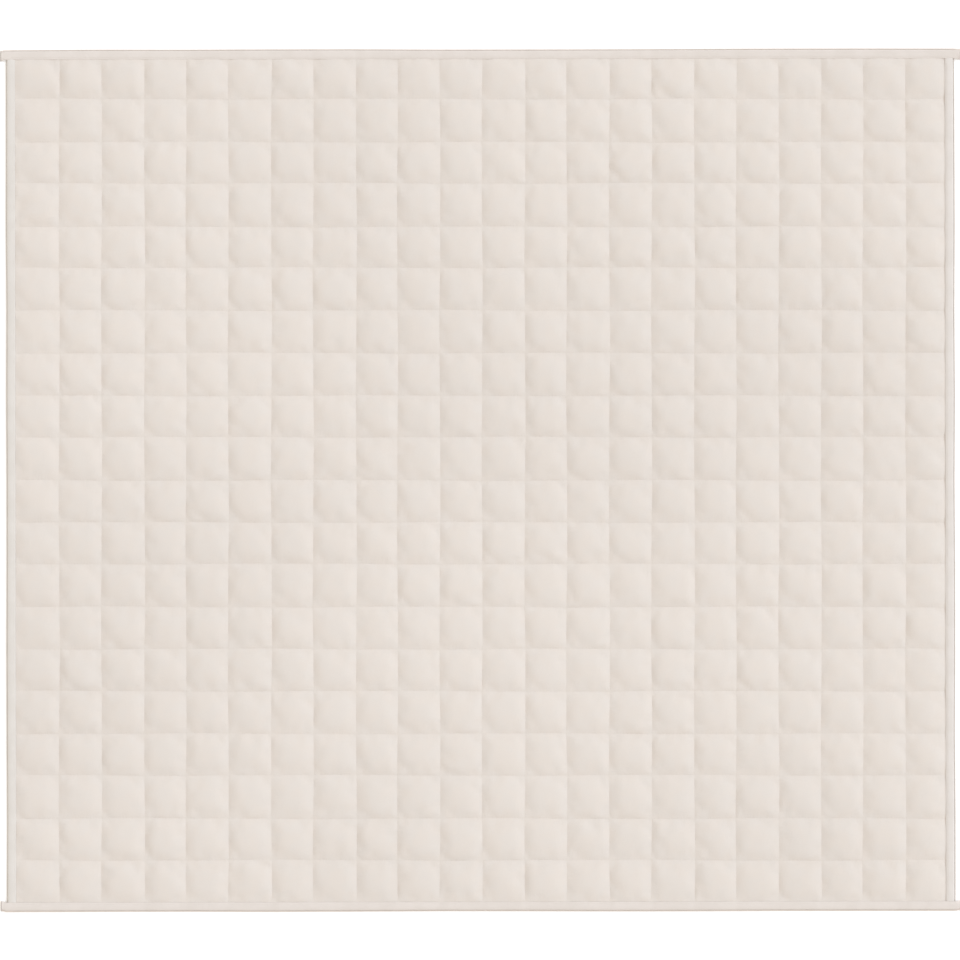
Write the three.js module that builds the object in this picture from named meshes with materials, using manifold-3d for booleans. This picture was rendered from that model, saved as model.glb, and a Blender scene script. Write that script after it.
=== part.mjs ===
// A weighted blanket lying flat. Its two layers of cloth are sewn together in a grid of square pockets
// that hold the weighting beads and the wadding, and its four edges are wrapped in folded binding strips.
// Units are millimetres. +Z is up, +X runs along the long side and +Y points to the head edge.
// The origin is on the floor, under the middle of the blanket.
import * as THREE from "three";
import { mergeVertices } from "three/addons/utils/BufferGeometryUtils.js";
import Module from "manifold-3d";

const wasm = await Module();
wasm.setup();

// Driving dimensions of the whole blanket.
const BLANKET_LENGTH = 2200; // along X, over the side bindings
const BLANKET_WIDTH = 2000; // along Y, over the head and foot bindings
const POCKET_COLUMNS = 22;
const POCKET_ROWS = 20;
const POCKET_PITCH = 98.3; // from seam to seam, a little under 100 because quilting draws the cloth in
const QUILTING_OFFSET_X = 5.2; // the quilting isn't quite centred, so its last column is narrow
const QUILTING_OFFSET_Y = 0.4;

// Heights above the floor.
const CROWN_HEIGHT = 14.6; // middle of an average pocket
const SEAM_TOP = 6.2; // upper cloth along a quilting seam
const SEAM_UNDERSIDE = 3.0; // lower cloth along a quilting seam
const EDGE_TOP = 6.6; // flat edge of the quilting, inside the binding
const EDGE_UNDERSIDE = 1.5;

// A pocket's shape, as shares of its width or of its rise above the seam.
const SHOULDER_INSET = 0.17; // where the steep side turns into the gentle crown
const SHOULDER_RISE = 0.68;
const PAD_INSET = 0.13; // where the lower cloth comes down to the floor

// How uneven hand-guided sewing and loose beads leave it.
const SEAM_DRIFT = 1.8; // sideways, of a whole seam
const SEAM_WANDER = 1.1; // sideways, of a seam at one crossing
const CROWN_VARIATION = 1.0; // up and down, of a pocket's middle
const SHOULDER_VARIATION = 0.6;
const BEAD_DRIFT = 7; // sideways, of a pocket's highest point

// The binding: one folded strip along each edge.
const BINDING_WIDTH = 22; // from its outer fold to its inner edge
const BINDING_CREST = 9.2; // height of its highest line
const BINDING_CREST_INSET = 9.6; // from its outer fold to that line
const BINDING_SHOULDER_INSET = 15.8; // where its back starts to fall to the inner edge
const BINDING_INNER_TOP = 7.9; // height of its upper edge, where it ends on the quilting
const BINDING_FRONT_INSET = 4.2; // where its steep front turns into its back
const BINDING_BULGE = 0.2; // how full its back is
const BINDING_CLOTH = 1.2; // thickness under the quilting
const LIP_WIDTH = 2.9; // the flat lip that edge stitching presses along the outer fold
const LIP_HEIGHT = 3.0;
const LIP_ROUNDING = 0.8;
const BINDING_WAVER = 0.8; // sideways, of its outer fold
const TAB_LENGTH = 13; // of each head and foot strip, past the side binding
const TAB_STEP_START = 1.2; // past the side binding's fold, where the strip starts to sink to an empty fold
const TAB_STEP_END = 9; // where it has sunk
const TAB_FLATTENED = 0.9; // the empty fold's height, as a share of the filled strip's
const TAB_TURN = 2.2; // how far a tab turns in towards the blanket

// Fits between pieces.
const GAP = 0.3;
const FOLD_WALL = 6.0; // from the outer fold to the channel that holds the quilting's edge
const CUT_ALLOWANCE = 1; // how far a cut runs past the face that it opens
const MERGE_DISTANCE = 1e-3; // points closer than this are one point
const POCKETS_PER_BINDING_STEP = 2; // between two sections of a binding strip

const HALF_LENGTH = BLANKET_LENGTH / 2;
const HALF_WIDTH = BLANKET_WIDTH / 2;

const clothMaterial = new THREE.MeshStandardMaterial({
  color: 0xe6ddd5,
  roughness: 0.85,
  metalness: 0,
});
const bindingMaterial = new THREE.MeshStandardMaterial({
  color: 0xe6dfd8,
  roughness: 0.8,
  metalness: 0,
});

// A repeatable number from -1 to 1 for each pair of whole numbers, different for each trait:
// the fraction that is left of a very large sine looks random.
function uneven(column, row, trait) {
  const mixed = Math.sin(column * 12.9898 + row * 78.233 + trait * 37.719) * 43758.5453;
  return 2 * (mixed - Math.floor(mixed)) - 1;
}

// The lines that bound the pockets along one axis: the binding's inner edge, each seam, and the other edge.
function pocketLines(halfSize, pockets, offset, trait) {
  const lines = [-halfSize + BINDING_WIDTH + GAP];
  for (let seam = 1; seam < pockets; seam += 1) {
    const drift = SEAM_DRIFT * uneven(seam, 0, trait);
    lines.push((seam - pockets / 2) * POCKET_PITCH + offset + drift);
  }
  lines.push(halfSize - BINDING_WIDTH - GAP);
  return lines;
}

const columnLines = pocketLines(HALF_LENGTH, POCKET_COLUMNS, QUILTING_OFFSET_X, 9);
const rowLines = pocketLines(HALF_WIDTH, POCKET_ROWS, QUILTING_OFFSET_Y, 10);

// The place of the crossing of two lines. Seams wander slowly, and the outermost lines are straight.
function crossing(column, row) {
  const wandersX = column > 0 && column < POCKET_COLUMNS;
  const wandersY = row > 0 && row < POCKET_ROWS;
  const sideways = Math.sin(0.9 * row + 2.4 * column) + 0.5 * Math.sin(2.3 * row + 1.1 * column);
  const lengthways = Math.sin(0.8 * column + 2.7 * row) + 0.5 * Math.sin(2.1 * column + 1.3 * row);
  return new THREE.Vector2(
    columnLines[column] + (wandersX ? SEAM_WANDER * sideways : 0),
    rowLines[row] + (wandersY ? SEAM_WANDER * lengthways : 0),
  );
}

function isOuterCrossing(column, row) {
  return column === 0 || row === 0 || column === POCKET_COLUMNS || row === POCKET_ROWS;
}

// The four crossings round a pocket, anticlockwise seen from above, with the heights of its cloths there.
function pocketCorners(column, row) {
  const around = [
    [column, row],
    [column + 1, row],
    [column + 1, row + 1],
    [column, row + 1],
  ];
  return around.map(([c, r]) => ({
    place: crossing(c, r),
    top: isOuterCrossing(c, r) ? EDGE_TOP : SEAM_TOP,
    underside: isOuterCrossing(c, r) ? EDGE_UNDERSIDE : SEAM_UNDERSIDE,
  }));
}

function raised(place, height) {
  return new THREE.Vector3(place.x, place.y, height);
}

// Adds the flat or bent face a, b, c, d, anticlockwise seen from outside.
function addFace(faces, a, b, c, d) {
  faces.push(a, b, c, a, c, d);
}

// Joins two rings of points with the same number of corners. The outer ring is anticlockwise seen from outside.
function addRing(faces, outer, inner) {
  outer.forEach((corner, i) => {
    const next = (i + 1) % outer.length;
    addFace(faces, corner, outer[next], inner[next], inner[i]);
  });
}

// One pocket: a shoulder and a crown on top, and a flat pad that rests on the floor below.
function addPocket(faces, column, row) {
  const corners = pocketCorners(column, row);
  const middle = new THREE.Vector2();
  corners.forEach((corner) => middle.addScaledVector(corner.place, 1 / corners.length));

  const rise = CROWN_HEIGHT + CROWN_VARIATION * uneven(column, row, 1) - SEAM_TOP;
  const seamRing = corners.map((corner) => raised(corner.place, corner.top));
  const shoulder = corners.map((corner, i) => {
    const lift = SHOULDER_VARIATION * uneven(column, row, 2 + i);
    const place = corner.place.clone().lerp(middle, 2 * SHOULDER_INSET);
    return raised(place, SEAM_TOP + SHOULDER_RISE * rise + lift);
  });
  const drift = new THREE.Vector2(uneven(column, row, 6), uneven(column, row, 7));
  const crown = raised(middle.clone().addScaledVector(drift, BEAD_DRIFT), SEAM_TOP + rise);
  addRing(faces, seamRing, shoulder);
  shoulder.forEach((point, i) => faces.push(point, shoulder[(i + 1) % shoulder.length], crown));

  const undersideRing = corners.map((corner) => raised(corner.place, corner.underside)).reverse();
  const pad = corners.map((corner) => raised(corner.place.clone().lerp(middle, 2 * PAD_INSET), 0)).reverse();
  addRing(faces, undersideRing, pad);
  addFace(faces, ...pad);
}

// The crossings of the outermost lines, once round the blanket, anticlockwise seen from above.
function outlineCrossings() {
  const around = [];
  for (let column = 0; column < POCKET_COLUMNS; column += 1) around.push([column, 0]);
  for (let row = 0; row < POCKET_ROWS; row += 1) around.push([POCKET_COLUMNS, row]);
  for (let column = POCKET_COLUMNS; column > 0; column -= 1) around.push([column, POCKET_ROWS]);
  for (let row = POCKET_ROWS; row > 0; row -= 1) around.push([0, row]);
  return around.map(([column, row]) => crossing(column, row));
}

// The flat edge of the quilting, which the binding wraps: it runs outwards from the outermost lines.
function addWrappedEdge(faces) {
  const inner = outlineCrossings();
  const lineX = HALF_LENGTH - BINDING_WIDTH - GAP;
  const lineY = HALF_WIDTH - BINDING_WIDTH - GAP;
  const edgeX = HALF_LENGTH - FOLD_WALL - GAP;
  const edgeY = HALF_WIDTH - FOLD_WALL - GAP;
  const outer = inner.map((point) => {
    const onSide = Math.abs(point.x) >= lineX;
    const onEnd = Math.abs(point.y) >= lineY;
    return new THREE.Vector2(
      onSide ? Math.sign(point.x) * edgeX : point.x,
      onEnd ? Math.sign(point.y) * edgeY : point.y,
    );
  });
  const at = (ring, height) => ring.map((point) => raised(point, height));
  addRing(faces, at(outer, EDGE_TOP), at(inner, EDGE_TOP));
  addRing(faces, at(outer, EDGE_UNDERSIDE), at(outer, EDGE_TOP));
  addRing(faces, at(inner, EDGE_UNDERSIDE), at(outer, EDGE_UNDERSIDE));
}

function quiltedBody() {
  const faces = [];
  for (let column = 0; column < POCKET_COLUMNS; column += 1) {
    for (let row = 0; row < POCKET_ROWS; row += 1) {
      addPocket(faces, column, row);
    }
  }
  addWrappedEdge(faces);
  const geometry = new THREE.BufferGeometry().setFromPoints(faces);
  return mergeVertices(geometry, MERGE_DISTANCE);
}

// A closed geometry as a manifold-3d solid, and back.
function solidFrom(geometry) {
  const bare = geometry.clone();
  bare.deleteAttribute("normal");
  bare.deleteAttribute("uv");
  const merged = mergeVertices(bare, MERGE_DISTANCE);
  return new wasm.Manifold(
    new wasm.Mesh({
      numProp: 3,
      vertProperties: merged.attributes.position.array,
      triVerts: new Uint32Array(merged.index.array),
    }),
  );
}

function geometryFrom(solid) {
  const mesh = solid.getMesh();
  const geometry = new THREE.BufferGeometry();
  geometry.setAttribute("position", new THREE.BufferAttribute(mesh.vertProperties, 3));
  geometry.setIndex(new THREE.BufferAttribute(mesh.triVerts, 1));
  return geometry;
}

// The outline of a filled binding strip: x runs in from the outer fold, y up from the floor.
function bindingSection() {
  const section = new THREE.Shape();
  section.moveTo(LIP_ROUNDING, 0);
  section.lineTo(BINDING_WIDTH, 0);
  section.lineTo(BINDING_WIDTH, BINDING_INNER_TOP);
  section.quadraticCurveTo(
    BINDING_SHOULDER_INSET,
    BINDING_CREST + BINDING_BULGE,
    BINDING_CREST_INSET,
    BINDING_CREST,
  );
  section.quadraticCurveTo(BINDING_FRONT_INSET, BINDING_CREST, LIP_WIDTH, LIP_HEIGHT);
  section.lineTo(LIP_ROUNDING, LIP_HEIGHT);
  section.lineTo(0, LIP_HEIGHT / 2);
  section.closePath();
  return section;
}

// Places along a strip where it has a section, from its +X end to its -X end.
function bindingStations(halfRun, pockets, tabLength) {
  const stations = [];
  for (let step = POCKETS_PER_BINDING_STEP; step < pockets; step += POCKETS_PER_BINDING_STEP) {
    stations.push((pockets / 2 - step) * POCKET_PITCH);
  }
  const tabEnds = [halfRun + tabLength, halfRun + TAB_STEP_END, halfRun + TAB_STEP_START];
  const ends = tabLength > 0 ? tabEnds : [halfRun];
  return [...ends, ...stations, ...ends.map((end) => -end).reverse()];
}

// A strip that runs along X on the +Y side of the origin, with its outer fold at edgeY.
// Its channel is cut away for the quilting's edge, as far as channelHalf each way.
function bindingStrip({ halfRun, pockets, tabLength, edgeY, channelHalf, trait }) {
  const stations = bindingStations(halfRun, pockets, tabLength);
  const geometry = new THREE.ExtrudeGeometry(bindingSection(), {
    depth: stations.length - 1,
    steps: stations.length - 1,
    curveSegments: 3,
    bevelEnabled: false,
  });
  const position = geometry.attributes.position;
  for (let i = 0; i < position.count; i += 1) {
    const inFromFold = position.getX(i);
    const height = position.getY(i);
    const step = Math.round(position.getZ(i));
    const along = stations[step];
    const pastEdge = Math.max(0, Math.abs(along) - halfRun);
    const onTab = THREE.MathUtils.smoothstep(pastEdge, TAB_STEP_START, TAB_STEP_END);
    const foldShare = 1 - inFromFold / BINDING_WIDTH;
    const waver = BINDING_WAVER * uneven(step, trait, 8) * foldShare;
    const outwards = THREE.MathUtils.lerp(waver, -TAB_TURN, onTab);
    const flattened = 1 - (1 - TAB_FLATTENED) * onTab;
    position.setXYZ(i, along, edgeY - inFromFold + outwards, height * flattened);
  }
  const channelDepth = BINDING_WIDTH - FOLD_WALL + CUT_ALLOWANCE;
  const channelUnderside = BINDING_CLOTH;
  const channelTop = EDGE_TOP + GAP;
  const channel = new THREE.BoxGeometry(2 * channelHalf, channelDepth, channelTop - channelUnderside);
  channel.translate(
    0,
    edgeY - FOLD_WALL - channelDepth / 2,
    (channelUnderside + channelTop) / 2,
  );
  return geometryFrom(solidFrom(geometry).subtract(solidFrom(channel)));
}

const headStrip = {
  halfRun: HALF_LENGTH,
  pockets: POCKET_COLUMNS,
  tabLength: TAB_LENGTH,
  edgeY: HALF_WIDTH,
  channelHalf: HALF_LENGTH - FOLD_WALL,
};
const sideStrip = {
  halfRun: HALF_WIDTH - BINDING_WIDTH - GAP,
  pockets: POCKET_ROWS,
  tabLength: 0,
  edgeY: HALF_LENGTH,
  channelHalf: HALF_WIDTH,
};

const blanket = new THREE.Group();

function addPiece(name, geometry, material, quarterTurns) {
  const piece = new THREE.Mesh(geometry, material);
  piece.name = name;
  piece.rotation.z = (quarterTurns * Math.PI) / 2;
  blanket.add(piece);
}

addPiece("quilted_body", quiltedBody(), clothMaterial, 0);
addPiece("binding_head", bindingStrip({ ...headStrip, trait: 1 }), bindingMaterial, 0);
addPiece("binding_left", bindingStrip({ ...sideStrip, trait: 2 }), bindingMaterial, 1);
addPiece("binding_foot", bindingStrip({ ...headStrip, trait: 3 }), bindingMaterial, 2);
addPiece("binding_right", bindingStrip({ ...sideStrip, trait: 4 }), bindingMaterial, 3);

export default blanket;
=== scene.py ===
# %% [markdown]
# # A weighted blanket, lying flat
# Two layers of cloth are sewn together in a grid of square pockets that hold beads and wadding.
# Folded binding strips close the four edges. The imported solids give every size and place, and this
# lesson dresses them: a quilted cover blown up by a cloth simulation, folded strips, and real stitches.

# %% The frame and its measures
import math

import bpy
import numpy as np
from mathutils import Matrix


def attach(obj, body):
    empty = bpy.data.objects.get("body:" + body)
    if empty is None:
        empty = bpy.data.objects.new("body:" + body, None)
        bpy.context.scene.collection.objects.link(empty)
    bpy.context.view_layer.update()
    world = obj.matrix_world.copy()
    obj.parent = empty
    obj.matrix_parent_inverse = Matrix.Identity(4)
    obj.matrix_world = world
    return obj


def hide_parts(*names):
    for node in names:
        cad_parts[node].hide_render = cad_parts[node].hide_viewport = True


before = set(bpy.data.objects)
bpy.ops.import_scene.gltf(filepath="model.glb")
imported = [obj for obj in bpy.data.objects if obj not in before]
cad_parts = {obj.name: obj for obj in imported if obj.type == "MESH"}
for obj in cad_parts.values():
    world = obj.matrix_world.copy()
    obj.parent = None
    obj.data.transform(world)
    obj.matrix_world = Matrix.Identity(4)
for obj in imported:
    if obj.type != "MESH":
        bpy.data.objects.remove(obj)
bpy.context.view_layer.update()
MM = 0.001
scene = bpy.context.scene
print("solids:", sorted(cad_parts))

# %% [markdown]
# ## Camera
# Bedding is shown from straight above, so that its edges stay parallel. A long lens far away does that
# and still works as an ordinary perspective camera. It looks a hair to the left of the middle and is
# rolled by a hair, because no blanket is laid quite square.

# %% Camera
PICTURE_SIDE = 960
MM_PER_PIXEL = 2.318
CAMERA_LENS = 150.0
CAMERA_ROLL = math.radians(-0.085)
LOOK_HEIGHT = 8 * MM
LOOK_SIDEWAYS = -1.2 * MM
FARTHEST_SEEN = 200

picture_width = PICTURE_SIDE * MM_PER_PIXEL * MM
camera_data = bpy.data.cameras.new("camera")
camera_data.lens = CAMERA_LENS
camera_data.clip_end = FARTHEST_SEEN
camera_distance = picture_width * CAMERA_LENS / camera_data.sensor_width
camera = bpy.data.objects.new("camera", camera_data)
camera.location = (LOOK_SIDEWAYS, 0, LOOK_HEIGHT + camera_distance)
camera.rotation_euler = (0, 0, CAMERA_ROLL)
scene.collection.objects.link(camera)
scene.camera = camera
scene.view_settings.view_transform = "Standard"
print(f"camera {camera_distance:.2f} m above, {picture_width:.3f} m across")

# %% [markdown]
# ## Light
# A soft studio has a white dome all round, and one broad lamp low on the right that models the pockets.
# The lamp is a little cooler than the dome, as daylight from a window is, so that shaded slopes are warm.

# %% Light
FILL_STRENGTH = 0.885
FILL_COLOUR = (1.03, 1.0, 0.965, 1)
KEY_STRENGTH = 1.08
KEY_COLOUR = (0.85, 0.98, 1.15)
KEY_SOFTNESS = math.radians(24)
KEY_ELEVATION = math.radians(36)
KEY_AZIMUTH = math.radians(30)

world = bpy.data.worlds.new("studio")
scene.world = world
world.use_nodes = True
world.node_tree.nodes["Background"].inputs["Color"].default_value = FILL_COLOUR
world.node_tree.nodes["Background"].inputs["Strength"].default_value = FILL_STRENGTH

key_data = bpy.data.lights.new("key", "SUN")
key_data.energy = KEY_STRENGTH
key_data.angle = KEY_SOFTNESS
key_data.color = KEY_COLOUR
key = bpy.data.objects.new("key", key_data)
key.rotation_euler = (0, math.pi / 2 - KEY_ELEVATION, KEY_AZIMUTH)
scene.collection.objects.link(key)
print("lamp", round(math.degrees(KEY_ELEVATION)), "degrees above the floor")

# %% [markdown]
# ## The sewing plan
# The seams follow the same rules as the solids' seams do: an even pitch, a small drift of each seam, and
# a slow wander where seams cross. Once it is filled, the quilting draws in by a quarter of a per cent,
# and it sits a hair askew in its binding, so its seams lie within 5 mm of the solids' seams.

# %% Measures of the quilting
COLUMNS = 22
ROWS = 20
PITCH = 98.3 * MM
COLUMN_PITCH = 98.12 * MM
ROW_PITCH = 98.01 * MM
ASKEW = 0.0014
QUILTING_OFFSET_X = 5.2 * MM
QUILTING_OFFSET_Y = 0.9 * MM
SEAM_DRIFT = 1.8 * MM
SEAM_WANDER = 1.1 * MM
WANDER_ACROSS = ((0.9, 2.4), (2.3, 1.1))
WANDER_ALONG = ((0.8, 2.7), (2.1, 1.3))
SECOND_WAVE = 0.5
BINDING_WIDTH = 22 * MM
CLOTH_GAP = 0.1 * MM
HALF_LENGTH = 1100 * MM
HALF_WIDTH = 1000 * MM
SEAM_TOP = 6.2 * MM
SEAM_UNDERSIDE = 3.0 * MM
CROWN_HEIGHT = 14.6 * MM
CROWN_VARIATION = 1.0 * MM
QUILT_END_X = HALF_LENGTH - BINDING_WIDTH - CLOTH_GAP
QUILT_END_Y = HALF_WIDTH - BINDING_WIDTH - CLOTH_GAP


# %% Seam lines
# each kind of unevenness has a number of its own
TRAITS = {
    "crown": 1, "lean across": 6, "lean along": 7, "outer fold": 8, "column drift": 9, "row drift": 10,
    "lump across": 11, "lump along": 12, "stitch tilt": 14, "pit": 15,
}


# four numbers with nothing in common, so that neighbours come out unlike each other
COLUMN_MIX, ROW_MIX, TRAIT_MIX = 12.9898, 78.233, 37.719
SPREAD = 43758.5453


def uneven(column, row, trait):
    """A repeatable number from -1 to 1, as for the solids. It takes numbers or arrays."""
    mixed = np.sin(column * COLUMN_MIX + row * ROW_MIX + TRAITS[trait] * TRAIT_MIX) * SPREAD
    return 2 * (mixed - np.floor(mixed)) - 1


def pocket_lines(end, pockets, pitch, offset, trait):
    seams = np.arange(1, pockets)
    inner = (seams - pockets / 2) * pitch + offset + SEAM_DRIFT * uneven(seams, 0, trait)
    return np.concatenate([[-end], inner, [end]])


column_lines = pocket_lines(QUILT_END_X, COLUMNS, COLUMN_PITCH, QUILTING_OFFSET_X, "column drift")
row_lines = pocket_lines(QUILT_END_Y, ROWS, ROW_PITCH, QUILTING_OFFSET_Y, "row drift")


def wander(near, far, beats):
    """How far a crossing strays: two slow waves, each with its beat for either direction."""
    first, second = (np.sin(beat[0] * near + beat[1] * far) for beat in beats)
    return SEAM_WANDER * (first + SECOND_WAVE * second)


def crossing(column, row):
    """Where two lines cross, for arrays of whole numbers: x and y."""
    even_x, even_y = column_lines[column], row_lines[row]
    inner_column = (column > 0) & (column < COLUMNS)
    inner_row = (row > 0) & (row < ROWS)
    x = even_x + np.where(inner_column, wander(row, column, WANDER_ACROSS) + ASKEW * even_y, 0)
    y = even_y + np.where(inner_row, wander(column, row, WANDER_ALONG) - ASKEW * even_x, 0)
    return x, y


def on_blanket(column, row, u, v):
    """The place in pocket (column, row) at the shares u and v of its width and height."""
    x00, y00 = crossing(column, row)
    x10, y10 = crossing(column + 1, row)
    x01, y01 = crossing(column, row + 1)
    x11, y11 = crossing(column + 1, row + 1)
    x = (1 - v) * ((1 - u) * x00 + u * x10) + v * ((1 - u) * x01 + u * x11)
    y = (1 - v) * ((1 - u) * y00 + u * y10) + v * ((1 - u) * y01 + u * y11)
    return x, y


print("pocket widths in mm:", np.round(np.diff(column_lines) / MM).astype(int))

# %% [markdown]
# ## Small helpers
# Blender keeps a mesh's points in one long array. Reading and writing that array in one go is how a
# script shapes thousands of points quickly. An operator acts on whatever is selected, so each step
# starts by selecting exactly one piece.


# %% Points, selection and modifiers
def points_of(piece):
    """Every point of a piece, as rows of x, y and z."""
    points = np.empty(len(piece.data.vertices) * 3)
    piece.data.vertices.foreach_get("co", points)
    return points.reshape(-1, 3)


def set_points(piece, points):
    piece.data.vertices.foreach_set("co", np.ascontiguousarray(points, np.float32).ravel())
    piece.data.update()


def only(piece):
    """Makes one object the selected and active one."""
    bpy.ops.object.select_all(action="DESELECT")
    piece.select_set(True)
    bpy.context.view_layer.objects.active = piece


def apply_modifiers(piece):
    only(piece)
    for name in [modifier.name for modifier in piece.modifiers]:
        bpy.ops.object.modifier_apply(modifier=name)


def select_points(piece, chosen):
    """Selects the chosen points of one object and nothing else, and stays in edit mode."""
    only(piece)
    bpy.ops.object.mode_set(mode="EDIT")
    bpy.ops.mesh.select_mode(type="VERT")
    bpy.ops.mesh.select_all(action="DESELECT")
    bpy.ops.object.mode_set(mode="OBJECT")
    piece.data.vertices.foreach_set("select", chosen)
    bpy.ops.object.mode_set(mode="EDIT")


def on_all_faces(piece, operator):
    """Runs an operator on every face of one object, such as one that turns the faces outwards."""
    only(piece)
    bpy.ops.object.mode_set(mode="EDIT")
    bpy.ops.mesh.select_all(action="SELECT")
    operator()
    bpy.ops.object.mode_set(mode="OBJECT")


def triangles(piece):
    return sum(len(face.vertices) - 2 for face in piece.data.polygons)


def smooth(piece, sharpest=math.radians(50)):
    """Smooth shading, but with a crisp line wherever faces meet at more than the given angle."""
    only(piece)
    bpy.ops.object.shade_smooth_by_angle(angle=sharpest)


def fine_grid(name, across, along):
    """A flat grid. It returns the piece and, for each point, its whole-number place in the grid."""
    bpy.ops.object.select_all(action="DESELECT")
    bpy.ops.mesh.primitive_grid_add(x_subdivisions=across, y_subdivisions=along, size=2)
    piece = bpy.context.object
    piece.name = name
    points = points_of(piece)
    i = np.rint((points[:, 0] + 1) / 2 * across).astype(int)
    j = np.rint((points[:, 1] + 1) / 2 * along).astype(int)
    return piece, i, j


def store(piece, name, values):
    """Keeps one number for each point, for a material to read."""
    attribute = piece.data.attributes.new(name, "FLOAT", "POINT")
    attribute.data.foreach_set("value", np.ascontiguousarray(values, np.float32))


# %% [markdown]
# ## The upper cloth
# A pocket is two squares of cloth sewn round the edge and filled, so it swells like a small pillow. Its
# seams can't move, and the cloth between them is a little too large, which makes the gathers along a
# seam. A sheet with its seam points pinned and air pressure under it takes exactly that shape.
#
# Beside the right-hand strip the quilting was sewn down flat for a few millimetres, so there the last
# cell of each pocket is pinned on both sides.

# %% The upper cloth, flat
TOP_CELLS = 13
SEAM_FINENESS = 0.35
FLAT_BESIDE_STRIP = 2.8 * MM


def seam_spacing(step, cells):
    """Shares across a pocket, closer together near its seams, where the cloth is steepest."""
    even = step / cells
    return even - SEAM_FINENESS * np.sin(2 * math.pi * even) / (2 * math.pi)


def last_column_spacing(step, cells):
    """The same for the right-hand column, with its last cell kept for the flat stretch."""
    flat_share = FLAT_BESIDE_STRIP / (column_lines[COLUMNS] - column_lines[COLUMNS - 1])
    swelling = (1 - flat_share) * seam_spacing(step, cells - 1)
    return np.where(step == cells, 1, swelling)


def pocket_grid(name, cells, across_spacing, along_spacing):
    """A grid laid on the sewing plan. It returns the piece and each point's pocket, steps and shares."""
    piece, i, j = fine_grid(name, COLUMNS * cells, ROWS * cells)
    column = np.minimum(i // cells, COLUMNS - 1)
    row = np.minimum(j // cells, ROWS - 1)
    i_step, j_step = i - column * cells, j - row * cells
    u = across_spacing(column, i_step)
    v = along_spacing(j_step)
    x, y = on_blanket(column, row, u, v)
    set_points(piece, np.column_stack([x, y, np.zeros(len(x))]))
    return piece, column, row, i_step, j_step, u, v


def top_spacing(column, step):
    right = column == COLUMNS - 1
    return np.where(right, last_column_spacing(step, TOP_CELLS), seam_spacing(step, TOP_CELLS))


cover, column, row, i_step, j_step, u, v = pocket_grid(
    "quilted_cover", TOP_CELLS, top_spacing, lambda step: seam_spacing(step, TOP_CELLS)
)
right_column = column == COLUMNS - 1
swelling_cells = np.where(right_column, TOP_CELLS - 1, TOP_CELLS)
on_seam = (i_step == 0) | (i_step >= swelling_cells) | (j_step == 0) | (j_step == TOP_CELLS)
print("upper cloth:", len(cover.data.vertices), "points,", on_seam.sum(), "of them sewn")

# %% Blowing it up
START_BULGE = 4 * MM
BULGE_NOISE = 0.3 * MM
BULGE_SEED = 7
CLOTH_FRAMES = 12
CLOTH_PRESSURE = 4
CLOTH_SPARE = 0.025
CLOTH_STIFFNESS = 0.5
RELAX_SHARE = 0.5
RELAX_PASSES = 2

# 0 on the seams and 1 in the middle of a pocket
dome = np.where(on_seam, 0, 16 * u * (1 - u) * v * (1 - v))
rng = np.random.default_rng(BULGE_SEED)
start = points_of(cover)
start[:, 2] = dome * (START_BULGE + BULGE_NOISE * rng.standard_normal(len(dome)))
set_points(cover, start)


def blow_up(piece):
    """Cloth with pressure under it. Gravity stays off, and the result is applied to the mesh."""
    modifier = piece.modifiers.new("cloth", "CLOTH")
    cloth = modifier.settings
    cloth.vertex_group_mass = "sewn"
    cloth.use_pressure = True
    cloth.uniform_pressure_force = CLOTH_PRESSURE
    cloth.shrink_min = -CLOTH_SPARE
    cloth.bending_stiffness = CLOTH_STIFFNESS
    cloth.effector_weights.gravity = 0
    modifier.collision_settings.use_collision = False
    for step in range(1, CLOTH_FRAMES + 1):
        scene.frame_set(step)
    apply_modifiers(piece)
    scene.frame_set(1)


def relax(piece):
    """Takes out the zigzag that is as fine as the grid, and leaves the gathers."""
    modifier = piece.modifiers.new("relax", "SMOOTH")
    modifier.factor = RELAX_SHARE
    modifier.iterations = RELAX_PASSES
    modifier.vertex_group = "sewn"
    modifier.invert_vertex_group = True
    apply_modifiers(piece)


sewn = cover.vertex_groups.new(name="sewn")
sewn.add([int(i) for i in np.nonzero(on_seam)[0]], 1.0, "REPLACE")
blow_up(cover)
relax(cover)
cover.vertex_groups.clear()
blown = points_of(cover)
print("highest point after the simulation:", round(blown[:, 2].max() / MM, 1), "mm")

# %% [markdown]
# ## Filling the pockets
# Beads are loose, so no pocket is the same: each leans to the side where its beads lie, and is a little
# lumpy. Seams sink where they cross, and rise where the quilting runs up to a binding strip. Along the
# right-hand strip the quilting dips instead, into a small pit at the end of each seam.

# %% How high each pocket swells
BEAD_LEAN = 0.2
LUMP_HEIGHT = 0.35 * MM
LUMP_WAVES = 7
LUMP_SHIFT = 3
CROWN_FLATNESS = 2.4
# the formula for a flatter crown has no value on a seam itself
NEAREST_SEAM = 0.999

pocket = column * ROWS + row
middle_height = np.zeros(COLUMNS * ROWS)
np.maximum.at(middle_height, pocket, blown[:, 2])
across, along = 2 * u - 1, 2 * v - 1
off_middle = np.minimum(np.abs(across), NEAREST_SEAM)
spread_out = (1 - off_middle**CROWN_FLATNESS) / (1 - off_middle**2)
swell = blown[:, 2] / middle_height[pocket] * spread_out
rise = CROWN_HEIGHT + CROWN_VARIATION * uneven(column, row, "crown") - SEAM_TOP
to_beads = uneven(column, row, "lean across") * across + uneven(column, row, "lean along") * along
lumps_across = np.sin(LUMP_WAVES * u + LUMP_SHIFT * uneven(column, row, "lump across"))
lumps_along = np.sin(LUMP_WAVES * v + LUMP_SHIFT * uneven(column, row, "lump along"))
lumps = LUMP_HEIGHT * (lumps_across * lumps_along) * np.clip(2 * dome, 0, 1)
filled = np.clip(swell * (1 + BEAD_LEAN * to_beads) * rise, 0, rise) + lumps
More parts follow.
